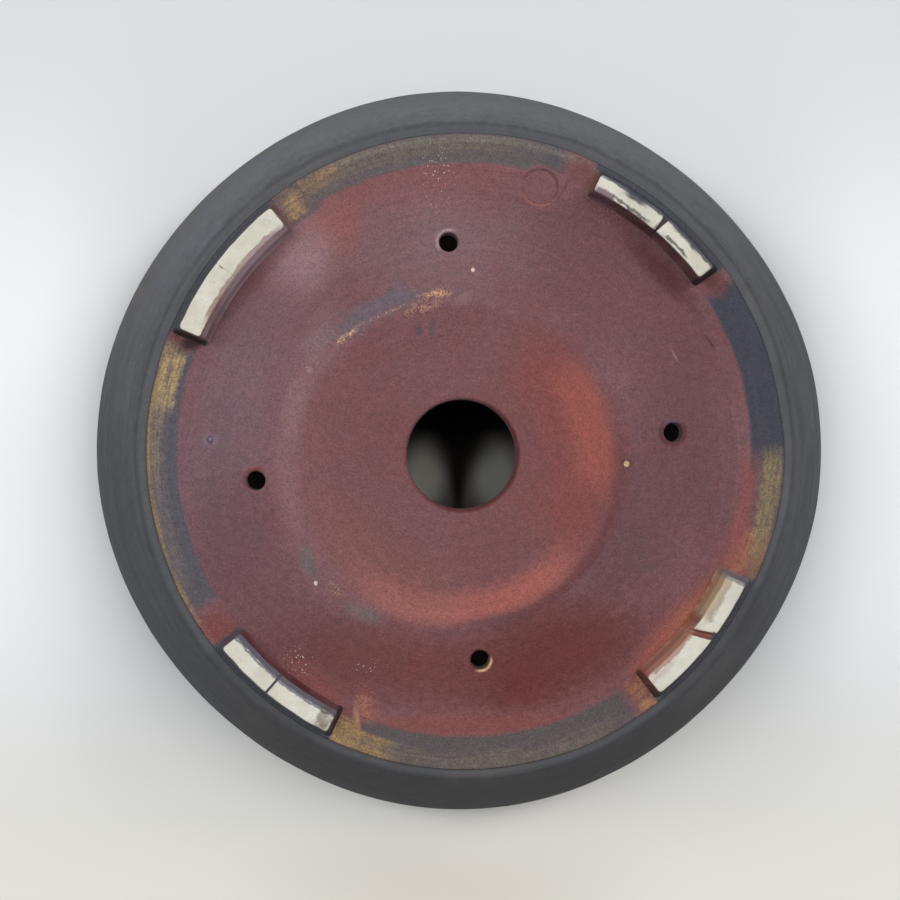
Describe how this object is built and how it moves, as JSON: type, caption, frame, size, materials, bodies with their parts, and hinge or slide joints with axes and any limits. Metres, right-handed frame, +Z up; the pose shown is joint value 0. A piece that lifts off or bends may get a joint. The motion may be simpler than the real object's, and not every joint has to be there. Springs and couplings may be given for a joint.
{
  "type": "bonsai pot",
  "caption": "Round shallow clay pot on low arc feet, with a drain hole and wire holes through its floor and a thick inward-turned lip.",
  "frame": {"origin": "middle of the pot on the surface that its feet stand on", "axes": "+Z up through the mouth; the wire holes lie near the X and Y axes"},
  "size_m": [0.2104, 0.2104, 0.068],
  "materials": {
    "red_clay": "unglazed matt",
    "dark_slip": "unglazed matt, slight sheen",
    "foot_clay": "unglazed matt, pale worn contact faces"
  },
  "bodies": {
    "root": {"floor_slab": "red_clay", "side_wall": "dark_slip", "rim_lip": "dark_slip", "foot_back_right": "foot_clay", "foot_back_left": "foot_clay", "foot_front_left": "foot_clay", "foot_front_right": "foot_clay", "seal_pad": "red_clay"}
  },
  "joints": []
}
